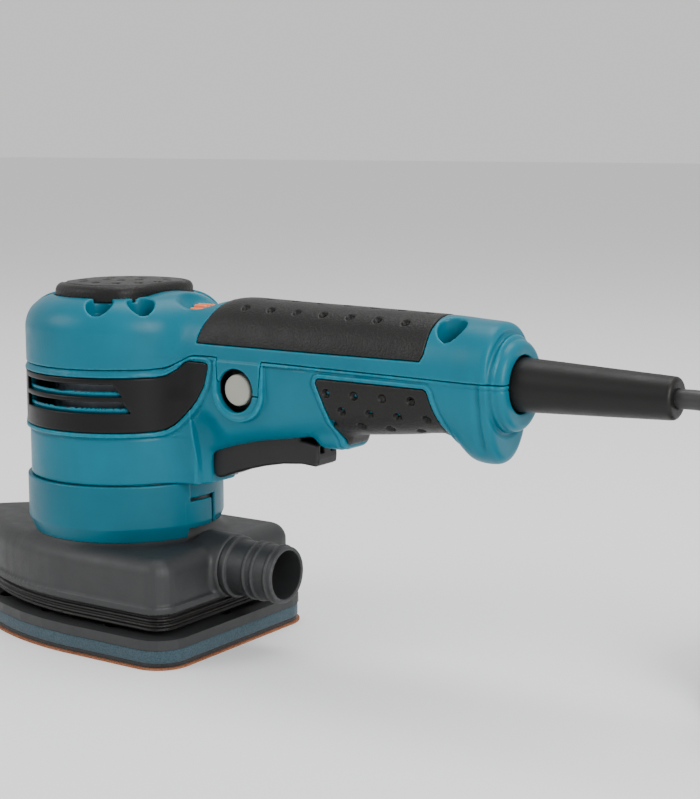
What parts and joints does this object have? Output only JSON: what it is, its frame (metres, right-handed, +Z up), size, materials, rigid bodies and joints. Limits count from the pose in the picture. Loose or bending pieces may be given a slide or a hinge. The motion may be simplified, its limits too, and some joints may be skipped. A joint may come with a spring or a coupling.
{
  "type": "detail sander",
  "caption": "Corded detail sander with a vertical motor head, rear handle with trigger and lock button, speed dial and an orbiting iron-shaped pad.",
  "frame": {"origin": "on the motor axis at the sanding face", "axes": "+Z up along the motor axis, +X back along the handle towards the cord, -Y the tool's left side"},
  "size_m": [0.4273, 0.1673, 0.15],
  "materials": {
    "teal_shell": "fine moulded texture, satin",
    "grip_rubber": "fine grained, matt",
    "vent_black": "satin",
    "hood_black": "matt, glass filled",
    "trigger_grey": "satin",
    "button_grey": "satin",
    "plunger_ivory": "gloss",
    "dial_orange": "satin",
    "steel": "machined",
    "cast_weight": "cast, oiled",
    "bracket_alloy": "die cast",
    "copper_winding": "varnished",
    "brass_holder": "stamped",
    "carbon": "pressed",
    "board_green": "lacquered",
    "film_case": "gloss",
    "lead_jacket": "extruded",
    "foam": "closed cell, matt",
    "hook_fabric": "hook tape",
    "abrasive": "coated grit",
    "cord_jacket": "smooth, matt",
    "tie_black": "matt",
    "pin_nickel": "plated"
  },
  "bodies": {
    "housing": {"upper_shell": "teal_shell", "lower_shell": "teal_shell", "head_cap": "grip_rubber", "upper_grip": "grip_rubber", "lower_grip": "grip_rubber", "vent_panel_left": "vent_black", "vent_panel_right": "vent_black", "shroud_left": "teal_shell", "shroud_right": "teal_shell", "dust_hood": "hood_black", "dust_port": "hood_black", "pad_seal": "grip_rubber", "flexible_feet": "grip_rubber", "stator_core": "steel", "field_coils": "copper_winding", "bearing_bracket": "bracket_alloy", "lower_bearing": "steel", "upper_bearing": "steel", "bearing_sleeve": "grip_rubber", "brush_holders": "brass_holder", "carbon_brushes": "carbon", "brush_springs": "steel", "switch_body": "hood_black", "speed_board": "board_green", "capacitor": "film_case", "cord_clamp": "hood_black", "cord_guard": "grip_rubber", "cord_inner_end": "cord_jacket", "inner_leads": "lead_jacket", "trigger_pin": "steel", "housing_screws": "steel", "clamp_screws": "steel", "bracket_screws": "steel", "cord_lead": "cord_jacket", "cord_coil": "cord_jacket", "cord_tail": "cord_jacket", "cord_tie": "tie_black", "plug_body": "cord_jacket", "plug_pins": "pin_nickel"},
    "armature": {"motor_shaft": "steel", "armature_core": "steel", "commutator": "copper_winding", "cooling_fan": "hood_black", "counterweight": "cast_weight", "pad_bearing": "steel"},
    "pad": {"pad_spindle": "steel", "base_plate": "hood_black", "foam_pad": "foam", "hook_face": "hook_fabric", "abrasive_sheet": "abrasive", "spindle_screws": "steel"},
    "trigger": {"trigger": "trigger_grey", "trigger_spring": "steel"},
    "plunger": {"switch_plunger": "plunger_ivory"},
    "lock": {"lock_button": "button_grey", "lock_spring": "steel"},
    "dial": {"speed_dial": "dial_orange"}
  },
  "joints": [
    {"name": "motor_spin", "type": "hinge", "parent": "housing", "child": "armature", "pos_m": [0, 0, 0.06], "axis": [0, 0, 1], "continuous": true},
    {"name": "pad_orbit", "type": "hinge", "parent": "armature", "child": "pad", "pos_m": [0.001, 0, 0.03], "axis": [0, 0, 1], "continuous": true},
    {"name": "trigger_pull", "type": "hinge", "parent": "housing", "child": "trigger", "pos_m": [0.0575, 0, 0.088], "axis": [0, -1, 0], "range_deg": [0, 5.5], "stiffness_Nm_per_rad": 0.4, "springref_deg": -20.05, "deforming": ["trigger_spring"]},
    {"name": "plunger_travel", "type": "slide", "parent": "housing", "child": "plunger", "axis": [0, 0, 1], "range_m": [0, 0.0032]},
    {"name": "lock_press", "type": "slide", "parent": "housing", "child": "lock", "axis": [0, 1, 0], "range_m": [0, 0.003], "stiffness_N_per_m": 400, "springref_m": -0.003, "deforming": ["lock_spring"]},
    {"name": "dial_turn", "type": "hinge", "parent": "housing", "child": "dial", "pos_m": [0.043, 0, 0.1304], "axis": [1, 0, 0], "range_deg": [0, 270]}
  ],
  "couplings": [
    {"joint": "pad_orbit", "follows": "motor_spin", "ratio": -1},
    {"joint": "plunger_travel", "follows": "trigger_pull", "m_per_rad": 0.032}
  ]
}
